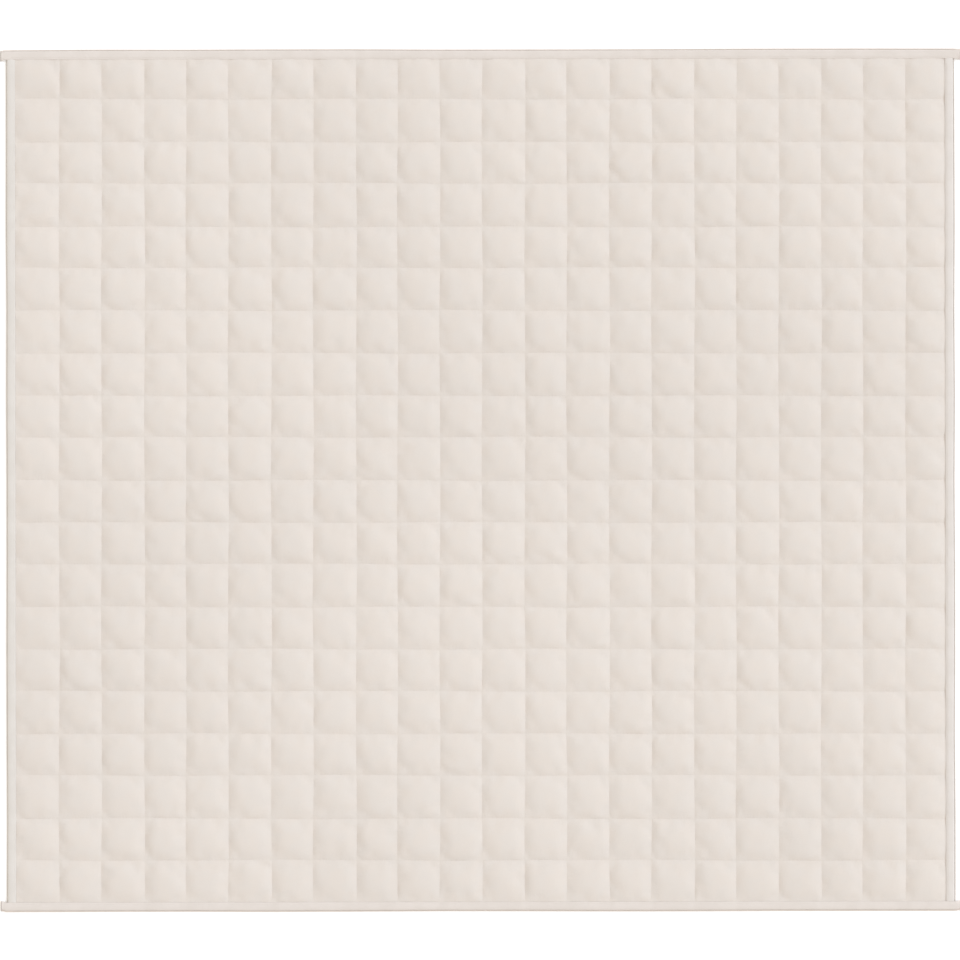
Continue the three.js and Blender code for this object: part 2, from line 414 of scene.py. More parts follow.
print("pockets swell by", round(filled.max() / MM, 1), "mm at most")

# %% Sagging seams, raised edges and pits
SEAM_SAG = 0.7 * MM
EDGE_RISE = 0.9 * MM
EDGE_REACH = 16 * MM
PIT_DEPTH = 2.0 * MM
PIT_REACH = 10 * MM
PIT_FULLNESS = 0.8
PIT_VARIATION = 0.35


def near(distance):
    """1 at an edge, falling smoothly to 0 at EDGE_REACH."""
    return np.clip(1 - distance / EDGE_REACH, 0, 1) ** 2


to_lengthwise = np.minimum(v, 1 - v) * PITCH
nearest_seam = row + (v > 0.5)
pit_size = PIT_DEPTH * (PIT_FULLNESS + PIT_VARIATION * uneven(nearest_seam, 0, "pit"))
drop = pit_size * np.exp(-((to_lengthwise / PIT_REACH) ** 2))
to_right = QUILT_END_X - blown[:, 0]
to_others = np.minimum(QUILT_END_X + blown[:, 0], QUILT_END_Y - np.abs(blown[:, 1]))
edge = np.maximum(EDGE_RISE * near(to_others) - (EDGE_RISE + drop) * near(to_right), -drop)
sag = SEAM_SAG * (1 - np.sin(math.pi * u) ** 2 - np.sin(math.pi * v) ** 2)
shaped = blown.copy()
shaped[:, 2] = SEAM_TOP - sag + edge + filled
set_points(cover, shaped)
print("upper cloth from", round(shaped[:, 2].min() / MM, 1), "to", round(shaped[:, 2].max() / MM, 1), "mm")

# %% Crisp seams
# Smooth shading would round a seam off, so the sewn edges are marked as sharp.
select_points(cover, on_seam)
bpy.ops.mesh.mark_sharp()
bpy.ops.object.mode_set(mode="OBJECT")
print("sewn edges:", sum(edge.use_edge_sharp for edge in cover.data.edges))

# %% Seam heights and gathers
# The stitches need each seam's height, and the finish needs each point's distance to the nearest seam.
GATHER_REACH = 13 * MM

to_crosswise = np.minimum(u, 1 - u) * PITCH
store(cover, "gather_crosswise", np.exp(-to_crosswise / GATHER_REACH))
store(cover, "gather_lengthwise", np.exp(-to_lengthwise / GATHER_REACH))


def seam_route(of_seam, along_axis):
    """The points of one seam in order: places along it, across it and above the floor."""
    route = shaped[of_seam]
    route = route[np.argsort(route[:, along_axis])]
    return route[:, along_axis], route[:, 1 - along_axis], route[:, 2]


lengthwise_routes = [seam_route((row == r) & (j_step == 0), 0) for r in range(1, ROWS)]
crosswise_routes = [seam_route((column == c) & (i_step == 0), 1) for c in range(1, COLUMNS)]
print(len(lengthwise_routes), "lengthwise and", len(crosswise_routes), "crosswise seams")

# %% [markdown]
# ## The lower cloth and the edge
# Underneath, the beads press every pocket flat on the floor, and only the seams are drawn up. Round the
# edge both cloths run on into the binding, where they are pressed thin. The edge is extruded outwards
# ring by ring, and the two cloths are then bridged into one closed body.

# %% The lower cloth
UNDER_SHARES = np.array([0, 0.05, 0.15, 0.5, 0.85, 0.95, 1])
UNDER_LIFTS = np.array([1, 0.4, 0, 0, 0, 0.4, 1])
UNDER_EDGE = 1.8 * MM
UNDER_CELLS = len(UNDER_SHARES) - 1

under, _, _, i_under, j_under, _, _ = pocket_grid(
    "lower_cloth", UNDER_CELLS, lambda _, step: UNDER_SHARES[step], lambda step: UNDER_SHARES[step]
)
under_points = points_of(under)
lift = SEAM_UNDERSIDE * np.maximum(UNDER_LIFTS[i_under], UNDER_LIFTS[j_under])
from_end = np.minimum(QUILT_END_X - np.abs(under_points[:, 0]), QUILT_END_Y - np.abs(under_points[:, 1]))
at_edge = from_end < CLOTH_GAP
under_points[:, 2] = np.where(at_edge, UNDER_EDGE, lift)
set_points(under, under_points)
on_all_faces(under, bpy.ops.mesh.flip_normals)
print("lower cloth:", triangles(under), "triangles")

# %% The edge that the binding wraps
PRESSED_TOP = 5.2 * MM
TUCK = 0.05 * MM
WRAPPED_END = 6.8 * MM
WRAPPED_ROUND = 0.6 * MM


def extrude_edge(piece, rings):
    """Extrudes the open edge of a cloth, ring by ring. A ring has an inset from the edge and a height."""
    only(piece)
    bpy.ops.object.mode_set(mode="EDIT")
    bpy.ops.mesh.select_mode(type="EDGE")
    bpy.ops.mesh.select_all(action="DESELECT")
    bpy.ops.mesh.select_non_manifold()
    here_x, here_y = QUILT_END_X, QUILT_END_Y
    for inset, height in rings:
        next_x, next_y = HALF_LENGTH - inset, HALF_WIDTH - inset
        bpy.ops.mesh.extrude_region_move()
        bpy.ops.transform.resize(value=(next_x / here_x, next_y / here_y, 0), center_override=(0, 0, 0))
        bpy.ops.transform.translate(value=(0, 0, height))
        here_x, here_y = next_x, next_y
    bpy.ops.mesh.select_mode(type="VERT")
    bpy.ops.object.mode_set(mode="OBJECT")


extrude_edge(
    cover,
    [
        (BINDING_WIDTH + TUCK, PRESSED_TOP),
        (WRAPPED_END, PRESSED_TOP),
        (WRAPPED_END - WRAPPED_ROUND, (PRESSED_TOP + UNDER_EDGE) / 2),
    ],
)
extrude_edge(under, [(WRAPPED_END, UNDER_EDGE)])
print("the cloths end", round((WRAPPED_END - WRAPPED_ROUND) / MM, 1), "mm from the blanket's edge")

# %% One closed body
only(under)
cover.select_set(True)
bpy.context.view_layer.objects.active = cover
bpy.ops.object.join()
bpy.ops.object.mode_set(mode="EDIT")
bpy.ops.mesh.select_mode(type="EDGE")
bpy.ops.mesh.select_all(action="DESELECT")
bpy.ops.mesh.select_non_manifold()
bpy.ops.mesh.bridge_edge_loops()
bpy.ops.mesh.select_mode(type="VERT")
bpy.ops.object.mode_set(mode="OBJECT")
on_all_faces(cover, bpy.ops.mesh.normals_make_consistent)
bpy.ops.object.shade_smooth()
print("quilted cover:", triangles(cover), "triangles")

# %% [markdown]
# ## The binding
# A binding strip is one strip of cloth folded round the raw edge. Seen end on, its line starts under the
# quilting, turns up at the outer fold, lies flat in a narrow pressed lip, swells over the filling, is
# sewn down near its inner edge, and ends in a turned-in hem. That line is a list of points, each with
# its height where the strip is filled, where it is empty, and where its end is closed.
#
# A flat grid is laid along that line, row by row, and Solidify gives the cloth its thickness.

# %% The strip seen end on
# inset from the outer fold, then the height where it is filled, on a tab, and closed, all in mm
STRIP_LINE = (
    (21.6, 0.55, 0.55, 0.55),
    (12.0, 0.55, 0.55, 0.55),
    (4.0, 0.55, 0.55, 0.55),
    (1.6, 0.60, 0.60, 0.60),
    (0.75, 1.25, 1.10, 0.85),
    (0.55, 2.05, 1.80, 1.15),
    (0.95, 2.75, 2.40, 1.50),
    (2.0, 2.95, 2.55, 1.65),
    (2.6, 2.30, 2.10, 1.65),
    (3.3, 1.70, 1.70, 1.65),
    (4.1, 2.00, 2.00, 1.70),
    (4.25, 3.80, 3.60, 1.75),
    (3.95, 5.50, 5.10, 1.80),
    (4.3, 7.00, 6.50, 1.90),
    (5.6, 7.75, 7.20, 2.00),
    (7.6, 8.15, 7.60, 2.10),
    (10.0, 8.40, 7.90, 2.20),
    (12.8, 8.50, 8.00, 2.20),
    (15.6, 8.25, 7.40, 2.20),
    (17.8, 7.60, 6.30, 2.15),
    (19.4, 7.30, 5.00, 2.20),
    (20.8, 7.00, 3.60, 2.10),
    (21.45, 6.45, 2.40, 1.90),
    (20.9, 5.90, 1.75, 1.70),
    (18.6, 5.85, 1.68, 1.65),
    (13.5, 5.85, 1.68, 1.65),
)
strip_line = np.array(STRIP_LINE) * MM
cut_width = np.hypot(np.diff(strip_line[:, 0]), np.diff(strip_line[:, 1])).sum()
print("the strip was cut", round(cut_width / MM), "mm wide")

# %% [markdown]
# ## How a strip changes along its run
# The outer fold wavers, and the filling pinches in where a seam runs under the strip. The head and foot
# strips run on past the sides as flat tabs, with a low ridge before the end, which is pressed shut. The
# side strips end tucked in under them. The topstitching puckers every strip.

# %% Ends and tabs
TAB_LENGTH = 13 * MM
TAB_STEP_START = 1.2 * MM
TAB_STEP_END = 9 * MM


def smoothstep(x, low, high):
    t = np.clip((x - low) / (high - low), 0, 1)
    return t * t * (3 - 2 * t)


def has_tabs(strip):
    return strip["tabs"][0] > 0


def at_end(pair, along):
    """Of a strip's two ends, the value for the one that a place is nearer to."""
    return np.where(along > 0, pair[1], pair[0])


def to_cut_end(strip, along):
    """How far a place is from the end of the strip's cloth."""
    return strip["half_run"] + at_end(strip["tabs"], along) - np.abs(along)


def share_on_tab(strip, along):
    """0 beside the quilting and 1 on a tab."""
    return smoothstep(np.abs(along) - strip["half_run"], TAB_STEP_START, TAB_STEP_END)


# %% Waver and fullness
BINDING_WAVER = 0.8 * MM
POCKETS_PER_STEP = 2
FULLNESS_VARIATION = 0.05
FULLNESS_LENGTHS = (31 * MM, 73 * MM)
SEAM_PINCH = 0.07
PINCH_REACH = 9 * MM


def waver_at(strip, along):
    """The sideways waver of the outer fold, as for the solids: a number for each second pocket."""
    past = [TAB_LENGTH, TAB_STEP_END, TAB_STEP_START] if has_tabs(strip) else [0]
    ends = [strip["half_run"] + reach for reach in past]
    steps = range(POCKETS_PER_STEP, strip["pockets"], POCKETS_PER_STEP)
    between = [(strip["pockets"] / 2 - step) * PITCH for step in steps]
    stations = np.array(ends + between + [-end for end in reversed(ends)])
    numbers = BINDING_WAVER * uneven(np.arange(len(stations)), strip["number"], "outer fold")
    return np.interp(along, stations[::-1], numbers[::-1])


def fullness(strip, along):
    """How full the strip is: a slow change along it, and a pinch where a seam runs under it."""
    short, long = FULLNESS_LENGTHS
    slow = np.sin(along / short + strip["number"]) + np.sin(along / long + 2 * strip["number"])
    nearest = np.abs(along[..., None] - strip["seams"]).min(axis=-1)
    pinch = np.exp(-((nearest / PINCH_REACH) ** 2))
    return 1 + FULLNESS_VARIATION / 2 * slow - SEAM_PINCH * pinch


# %% Height of the cloth
LIP_ROWS = (4, 8)
ROLL_LEVEL = 8.0 * MM
ROLL_FROM = 7.5 * MM
STRIP_LEAN = 0.13
LEVEL_AT = 0.6
CLOSED_REACH = 4.2 * MM
RIDGE_FROM_END = 3.2 * MM
RIDGE_WIDTH = 2 * MM
RIDGE_HEIGHT = 1.0 * MM
TUCKED_END = 12 * MM
TUCKED_DROP = 1.2 * MM
PUCKER_HEIGHT = 0.16 * MM
PUCKER_LENGTH = 2.6 * MM
PUCKER_INSET = 17.5 * MM
PUCKER_WIDTH = 3 * MM
PUCKER_DRIFT = 1.5
PUCKER_DRIFT_LENGTH = 47 * MM
HEM_FROM = 15 * MM
HEM_TO = 20 * MM


def beside_quilting(strip, along, line_row):
    """Height where the strip is filled: its roll may be flatter, lean in, and have a lower lip."""
    inset, filled, _, _ = strip_line[line_row].T
    level = np.where(filled > ROLL_FROM, ROLL_LEVEL + (filled - ROLL_LEVEL) * strip["roundness"], filled)
    leaning = 1 + STRIP_LEAN * strip["lean"] * (inset / BINDING_WIDTH - LEVEL_AT)
    full = np.where(is_upper(line_row), level * leaning * fullness(strip, along), filled)
    in_lip = (line_row >= LIP_ROWS[0]) & (line_row <= LIP_ROWS[1])
    return np.where(in_lip, full * strip["lip"], full)


def is_upper(line_row):
    """Whether a row of the strip's line lies on the quilting and not under it."""
    return strip_line[line_row, 1] > SEAM_UNDERSIDE


def puckers(strip, along, inset):
    """Small ridges across the topstitching."""
    drift = PUCKER_DRIFT * np.sin(along / PUCKER_DRIFT_LENGTH + strip["number"])
    across_stitches = np.exp(-(((inset - PUCKER_INSET) / PUCKER_WIDTH) ** 2))
    return PUCKER_HEIGHT * (np.sin(along / PUCKER_LENGTH + drift) * across_stitches)


def share_in_hem(strip, along, line_row):
    """1 in the turned-in hem and 0 in the outer part of the strip and on its tabs."""
    hem = smoothstep(strip_line[line_row, 0], HEM_FROM, HEM_TO)
    return hem * is_upper(line_row) * (1 - share_on_tab(strip, along))


def cloth_height(strip, along, line_row):
    inset, _, empty, closed = strip_line[line_row].T
    upper = is_upper(line_row)
    on_tab = share_on_tab(strip, along)
    to_end = to_cut_end(strip, along)
    height = beside_quilting(strip, along, line_row) * (1 - on_tab) + empty * on_tab
    if has_tabs(strip):
        is_closed = 1 - smoothstep(to_end, 0, CLOSED_REACH)
        ridge = np.exp(-(((to_end - RIDGE_FROM_END) / RIDGE_WIDTH) ** 2)) * (1 - is_closed)
        height = height * (1 - is_closed) + closed * is_closed + RIDGE_HEIGHT * ridge * upper
    else:
        height = height - TUCKED_DROP * (1 - smoothstep(to_end, 0, TUCKED_END)) * upper
    height = height + puckers(strip, along, inset) * upper * (1 - on_tab)
    return height + strip["hem_lift"] * share_in_hem(strip, along, line_row)


# %% Place and shade of the cloth
FRONT_ROWS = (10, 14)
GROOVE_ROW = 9
# painted shade by a tab's closed end: how much darker, how far from the end, and how wide
TAB_END_PAINTED_SHADE = 0.26
TAB_END_SHADE_FROM_END = 1.8 * MM
TAB_END_SHADE_WIDTH = 1.5 * MM
# painted light: how much lighter the lip is painted, where the roll's shadow falls on it
LIP_PAINTED_LIGHT = 0.15


def cloth_reach(strip, along, line_row):
    """How far out from the blanket's middle the cloth lies."""
    inset = strip_line[line_row, 0]
    fold_share = 1 - inset / BINDING_WIDTH
    on_tab = share_on_tab(strip, along)
    in_front = (line_row >= FRONT_ROWS[0]) & (line_row <= FRONT_ROWS[1])
    outwards = (waver_at(strip, along) + strip["fold_out"]) * fold_share * (1 - on_tab)
    turned_in = at_end(strip["turn"], along) + at_end(strip["spread"], along) * (1 - fold_share)
    inwards = strip["front_in"] * in_front + on_tab * turned_in
    hem_in = strip["hem_in"] * share_in_hem(strip, along, line_row)
    return strip["edge"] - inset + outwards - inwards - hem_in


def painted_shade_of(strip, along, line_row):
    """Painted shade: how much darker the cloth is painted in the pressed groove and at a tab's end. The
    lip is painted lighter, a painted light against the roll's shadow.
    """
    # painted shade: a band of cloth close to a tab's closed end is painted darker
    from_shade_line = (to_cut_end(strip, along) - TAB_END_SHADE_FROM_END) / TAB_END_SHADE_WIDTH
    shade_at_tab_end = TAB_END_PAINTED_SHADE * np.exp(-(from_shade_line**2)) * has_tabs(strip)
    # painted shade: the pressed groove's row is painted darker, by a set amount for each strip
    shade_in_groove = strip["painted_groove_shade"] * (line_row == GROOVE_ROW)
    # painted light: the lip's rows are painted lighter, against the roll's shadow
    painted_lip_light = LIP_PAINTED_LIGHT * ((line_row >= LIP_ROWS[0]) & (line_row < LIP_ROWS[1]))
    return np.maximum(shade_in_groove, shade_at_tab_end) - painted_lip_light


# %% [markdown]
# ## The four strips
# Each strip is worked out as if it ran along the head edge, and is then turned to its own edge. These
# are the entries of a strip, and those with two values have one for either end:
#
# - half_run, edge, turns: half its run, how far out its edge is, and its quarter turns from the head
# - pockets, seams: how many pockets it passes, and where their seams are
# - tabs, turn, spread: the tabs' lengths, how far they are turned in, and how much farther their inner
#   edges are
# - fold_out, front_in, hem_in, hem_lift: how far the outer fold sits out, the roll's front and the hem
#   sit in, and the hem sits up
# - lean, roundness, lip: how much the roll leans in, how high it is, and how high the lip is
# - painted_groove_shade, tint: how much darker the groove is painted, a painted shade, and a colour factor
#   for each strip, set to how its side looks under the lamp, so it partly paints light and shade
#
# The left and foot strips are softer and rounder. The head and right strips are pressed flatter.

# %% The four strips
SIDE_RUN = HALF_WIDTH - BINDING_WIDTH - CLOTH_GAP
RIGHT_TAB = TAB_LENGTH + 5 * MM
LEFT_HEAD_TAB = TAB_LENGTH
LEFT_FOOT_TAB = TAB_LENGTH + 1.3 * MM

# the groove number of a strip is the painted shade that its pressed groove gets
rounded = {"lean": 1, "roundness": 1, "lip": 0.85, "front_in": 0, "painted_groove_shade": 0}
# tint is a colour factor for each side, set to its look under the lamp, so it is partly painted light and
# shade
end_strip = {
    "half_run": HALF_LENGTH, "edge": HALF_WIDTH, "pockets": COLUMNS, "tint": (0.988, 0.972, 0.970),
}
side_strip = {
    "half_run": SIDE_RUN, "edge": HALF_LENGTH, "pockets": ROWS, "tabs": (0, 0), "turn": (0, 0),
    "spread": (0, 0), "hem_in": 0,
}
strips = {
    "head": {
        **end_strip, "number": 1, "turns": 0, "seams": column_lines[1:-1],
        "tabs": (LEFT_HEAD_TAB, RIGHT_TAB), "turn": (2.3 * MM, 0.6 * MM), "spread": (3.1 * MM, 3.7 * MM),
        "fold_out": -0.2 * MM, "front_in": 0.4 * MM, "hem_in": 2.4 * MM, "hem_lift": 0.5 * MM,
        "lean": 0, "roundness": 0.4, "lip": 1, "painted_groove_shade": 0.06,
    },
    "left": {
        **side_strip, **rounded, "number": 2, "turns": 1, "seams": row_lines[1:-1],
        "fold_out": 0.6 * MM, "hem_lift": 0, "tint": (0.972, 0.986, 0.99),
    },
    "foot": {
        **end_strip, **rounded, "number": 3, "turns": 2, "seams": -column_lines[1:-1],
        "tabs": (RIGHT_TAB, LEFT_FOOT_TAB), "turn": (0.3 * MM, 0.9 * MM), "spread": (1.4 * MM, 1.9 * MM),
        "fold_out": 1.0 * MM, "hem_in": 0, "hem_lift": 0,
    },
    "right": {
        **side_strip, "number": 4, "turns": 3, "seams": -row_lines[1:-1],
        "fold_out": 1.4 * MM, "front_in": 0.8 * MM, "hem_lift": -0.2 * MM,
        "lean": 0, "roundness": 0.5, "lip": 1, "painted_groove_shade": 0.16, "tint": (1.0, 1.003, 1.015),
    },
}
for side, strip in strips.items():
    run = round(2 * strip["half_run"] / MM)
    print(side, "strip runs", run, "mm over the ends of", len(strip["seams"]), "seams")

# %% Folding the strips
CLOTH_THICKNESS = 1.1 * MM
STATION = 4.4 * MM
TAB_STATION = 0.8 * MM


def cut_length(strip):
    return 2 * strip["half_run"] + sum(strip["tabs"])


def turned(points, quarter_turns):
    """Turns points about the blanket's middle."""
    for _ in range(quarter_turns):
        points = np.column_stack([-points[:, 1], points[:, 0], points[:, 2]])
    return points


def stations_of(strip):
    """Places along a strip: close together on its tabs, and evenly between them."""
    half_run = strip["half_run"]
    even = np.linspace(-half_run, half_run, round(2 * half_run / STATION) + 1)
    if not has_tabs(strip):
        return even
    near_end, far_end = (np.linspace(tab, 0, round(tab / TAB_STATION) + 1)[:-1] for tab in strip["tabs"])
    return np.concatenate([-half_run - near_end, even, half_run + far_end[::-1]])


def fold_strip(name, strip):
    """A flat grid laid along the strip's line, with the cloth's thickness."""
    stations = stations_of(strip)
    piece, i, line_row = fine_grid(name, len(stations) - 1, len(STRIP_LINE) - 1)
    along = stations[i]
    out = cloth_reach(strip, along, line_row)
    height = cloth_height(strip, along, line_row)
    set_points(piece, turned(np.column_stack([along, out, height]), strip["turns"]))
    # painted shade for each point: darker in the groove and at a tab's end, and below 0 (painted light) on
    # the lip
    store(piece, "painted_shade", painted_shade_of(strip, along, line_row))
    thicken = piece.modifiers.new("cloth", "SOLIDIFY")
    thicken.thickness = CLOTH_THICKNESS
    thicken.offset = 0
    apply_modifiers(piece)
    on_all_faces(piece, bpy.ops.mesh.normals_make_consistent)
    smooth(piece)
    return piece


binding = {side: fold_strip(side + "_binding", strip) for side, strip in strips.items()}
for side, piece in binding.items():
    print(piece.name, triangles(piece), "triangles")

# %% [markdown]
# ## Stitches
# Close to, every seam is a row of small stitches that pull down at both ends. One stitch is modelled with
# very few faces, because there are thousands. Two arrays repeat it along a seam and from seam
# to seam, and each copy is then laid on its own seam.

# %% One stitch, repeated
STITCH_PITCH = 5 * MM
STITCH_LENGTH = 4.1 * MM
HALF_BAR_SHARE = 0.32
THREAD_RADIUS = 0.42 * MM
THREAD_SIDES = 4
TIP_DIP = 0.3 * MM
STITCH_TILT = 0.05


def one_stitch(name, pitch_share):
    """A four-sided bar with pointed ends that dip into the cloth, along X."""
    bpy.ops.object.select_all(action="DESELECT")
    half_bar = HALF_BAR_SHARE * STITCH_LENGTH * pitch_share
    bpy.ops.mesh.primitive_cylinder_add(
        vertices=THREAD_SIDES, radius=THREAD_RADIUS, depth=2 * half_bar,
        end_fill_type="TRIFAN", rotation=(0, math.pi / 2, 0),
    )
    stitch = bpy.context.object
    stitch.name = name
    bpy.ops.object.transform_apply(location=False, rotation=True, scale=False)
    points = points_of(stitch)
    select_points(stitch, np.hypot(points[:, 1], points[:, 2]) < THREAD_RADIUS / 2)
    stretch = STITCH_LENGTH * pitch_share / 2 / half_bar
    bpy.ops.transform.resize(value=(stretch, 1, 1), center_override=(0, 0, 0))
    bpy.ops.transform.translate(value=(0, 0, -TIP_DIP))
    bpy.ops.object.mode_set(mode="OBJECT")
    return stitch


def repeated_stitches(name, count, rows, pitch_share=1.0):
    """The stitch, and for each point of its copies the seam, the number and the place in the stitch."""
    stitch = one_stitch(name, pitch_share)
    local = points_of(stitch)
    for copies in (count, rows):
        array = stitch.modifiers.new("array", "ARRAY")
        array.count = copies
        array.use_relative_offset = False
        array.use_constant_offset = True
        array.constant_offset_displace = (0, 0, 0)
    apply_modifiers(stitch)
    copy = np.arange(len(stitch.data.vertices)) // len(local)
    return stitch, copy // count, copy % count, np.tile(local, (count * rows, 1))


def tilted(local, seam, number):
    """How far sideways a stitch's points are. No hand guides every stitch dead straight."""
    tilt = STITCH_TILT * uneven(number, seam, "stitch tilt")
    return local[:, 1] + tilt * local[:, 0]


# %% Stitches of the quilting
def quilting_stitches(name, routes, end, along_axis, below):
    """Stitches on all the seams that run one way, on the upper or the lower cloth."""
    count = round(2 * end / STITCH_PITCH) - 1
    piece, seam, number, local = repeated_stitches(name, count, len(routes))
    middle = (number - (count - 1) / 2) * STITCH_PITCH
    along = middle + local[:, 0]
    across = np.empty(len(along))
    height = np.empty(len(along))
    for this, (places, sideways, heights) in enumerate(routes):
        mine = seam == this
        across[mine] = np.interp(along[mine], places, sideways)
        height[mine] = np.interp(along[mine], places, heights)
    if below:
        height = SEAM_UNDERSIDE - local[:, 2]
    else:
        height = height + local[:, 2]
    side = tilted(local, seam, number) * (-1 if along_axis else 1)
    flat = [along, across + side] if along_axis == 0 else [across + side, along]
    set_points(piece, np.column_stack([*flat, height]))
    if below:
        on_all_faces(piece, bpy.ops.mesh.flip_normals)
    smooth(piece)
    return piece


thread = [
    quilting_stitches("lengthwise_stitches", lengthwise_routes, QUILT_END_X, 0, False),
    quilting_stitches("crosswise_stitches", crosswise_routes, QUILT_END_Y, 1, False),
    quilting_stitches("lengthwise_stitches_below", lengthwise_routes, QUILT_END_X, 0, True),
    quilting_stitches("crosswise_stitches_below", crosswise_routes, QUILT_END_Y, 1, True),
]
for piece in thread:
    print(piece.name, triangles(piece), "triangles")

# %% Stitches of the binding
EDGE_PITCH_SHARE = 0.7
HEM_STITCH_ROW = 19
LIP_STITCH_ROW = 7


def binding_stitches(name, strip):
    """Two rows along a strip: one holds down its inner edge, and one presses its lip."""
    pitch = STITCH_PITCH * EDGE_PITCH_SHARE
    run = strip["half_run"] - TUCKED_END
    count = round(2 * run / pitch) - 1
    piece, seam, number, local = repeated_stitches(name, count, 2, EDGE_PITCH_SHARE)
    along = (number - (count - 1) / 2) * pitch + local[:, 0]
    line_row = np.where(seam == 0, HEM_STITCH_ROW, LIP_STITCH_ROW)
    out = cloth_reach(strip, along, line_row)
    height = cloth_height(strip, along, line_row) + CLOTH_THICKNESS / 2 + local[:, 2]
    placed = np.column_stack([along, out + tilted(local, seam, number), height])
    set_points(piece, turned(placed, strip["turns"]))
    smooth(piece)
    return piece


edge_thread = {side: binding_stitches(side + "_binding_stitches", strip) for side, strip in strips.items()}
for piece in edge_thread.values():
    print(piece.name, triangles(piece), "triangles")

# %% [markdown]
# ## A way to write finishes
# A finish is a sum of patterns. Wiring every plus and times by hand hides the idea, so one small class
# wraps an output socket and turns Python's own signs into Math nodes. One method adds any other node.


# %% Wires
class Wire:
    """An output socket. Sums with it add Math nodes to its tree."""

    def __init__(self, tree, socket):
        self.tree = tree
        self.socket = socket

    def math(self, operation, *values):
        return add_node(self.tree, "ShaderNodeMath", {"operation": operation}, dict(enumerate(values)))

    def __add__(self, other):
        return self.math("ADD", self, other)

    def __sub__(self, other):
        return self.math("SUBTRACT", self, other)

    def __rsub__(self, other):
        return self.math("SUBTRACT", other, self)

    def __mul__(self, other):
        return self.math("MULTIPLY", self, other)

    __radd__ = __add__
    __rmul__ = __mul__

    def sine(self):
        return self.math("SINE", self)


def add_node(tree, kind, settings, inputs, output=0):
    """Adds a node: its settings first, then a value or a wire for each input. It returns one output."""
    node = tree.nodes.new(kind)
    for name, value in settings.items():
        setattr(node, name, value)
    for name, value in inputs.items():
        if isinstance(value, Wire):
            tree.links.new(value.socket, node.inputs[name])
        else:
            node.inputs[name].default_value = value
    return Wire(tree, node.outputs[output])


# %% A finish
class Finish:
    """A material, with short names for the nodes that a cloth needs."""

    def __init__(self, name, constants):
        self.material = bpy.data.materials.new(name)
        self.material.use_nodes = True
        self.tree = self.material.node_tree
        self.shader = self.tree.nodes["Principled BSDF"]
        for socket, value in constants.items():
            self.shader.inputs[socket].default_value = value

    def node(self, kind, settings=None, inputs=None, output=0):
        return add_node(self.tree, kind, settings or {}, inputs or {}, output)

    def point(self):
        """The place in the blanket's own frame."""
        return self.node("ShaderNodeTexCoord", output="Object")

    def parts(self, place, axes):
        """Some of the numbers of a place, one for each letter of the axes."""
        return [self.node("ShaderNodeSeparateXYZ", {}, {0: place}, axis) for axis in axes]

    def stored(self, name):
        """A number that was kept for each point of the mesh."""
        return self.node("ShaderNodeAttribute", {"attribute_name": name}, {}, "Fac")

    def noise(self, point, per_metre, detail=2.0):
        return self.node("ShaderNodeTexNoise", {}, {"Vector": point, "Scale": per_metre, "Detail": detail})

    def ramp(self, value, low, high, to_low=0.0, to_high=1.0):
        ends = {"Value": value, "From Min": low, "From Max": high, "To Min": to_low, "To Max": to_high}
        return self.node("ShaderNodeMapRange", {"interpolation_type": "SMOOTHSTEP"}, ends)

    def mix(self, share, first, second, blend="MIX"):
        settings = {"data_type": "RGBA", "blend_type": blend}
        return self.node("ShaderNodeMix", settings, {0: share, 6: first, 7: second}, 2)

    def grey(self, value):
        return self.node("ShaderNodeCombineColor", {}, {0: value, 1: value, 2: value})

    def bump(self, height, strength, distance):
        sockets = {"Height": height, "Strength": strength, "Distance": distance}
        return self.node("ShaderNodeBump", {}, sockets)

    def wear(self, **sockets):
        """Connects the patterns to the shader, and returns the finished material."""
        for name, wire in sockets.items():
            self.tree.links.new(wire.socket, self.shader.inputs[name.replace("_", " ")])
        return self.material


def print_nodes(material):
    print(material.name, "has", len(material.node_tree.nodes), "nodes")


# %% [markdown]
# ## The cover's cloth
# Brushed cotton: a plain weave that shows only close to, a soft nap, faint clouds of warmer and cooler
# cream where the dye took differently, and gathers that run away from each seam, because the needle
# draws the cloth in there. The shape of the pockets is already in the mesh, so the bumps stay small.

# %% Cover cloth
QUILT_WARM = (0.760, 0.692, 0.631, 1)
QUILT_COOL = (0.752, 0.692, 0.637, 1)
CLOUD_RANGE = (0.35, 0.65)
CLOUDS_PER_METRE = 30
SLOW_CLOUDS_PER_METRE = 1.1
SLOW_CLOUD_SHADE = 0.98
YARN_PITCH = 0.9 * MM
YARN_SHADE = 0.01
WEAVE_DEPTH = 0.05 * MM
NAP_PER_METRE = 900
NAP_SHADE = 0.02
NAP_DEPTH = 0.1 * MM
GATHER_PITCH = 7.5 * MM
GATHER_DEPTH = 0.10 * MM
GATHER_WANDER = 20
GATHER_WANDER_PER_METRE = 90


def weave_of(x, y, pitch):
    """Plain weave: yarns that go over and under each other."""
    turn = 2 * math.pi / pitch
    return (x * turn).sine() * (y * turn).sine()


def gathers_of(finish, point, x, y):
    """Ripples that cross each seam and die out away from it."""
    wandering = finish.noise(point, GATHER_WANDER_PER_METRE) * GATHER_WANDER
    turn = 2 * math.pi / GATHER_PITCH
    across_crosswise = (y * turn + wandering).sine() * finish.stored("gather_crosswise")
    across_lengthwise = (x * turn + wandering).sine() * finish.stored("gather_lengthwise")
    return across_crosswise + across_lengthwise


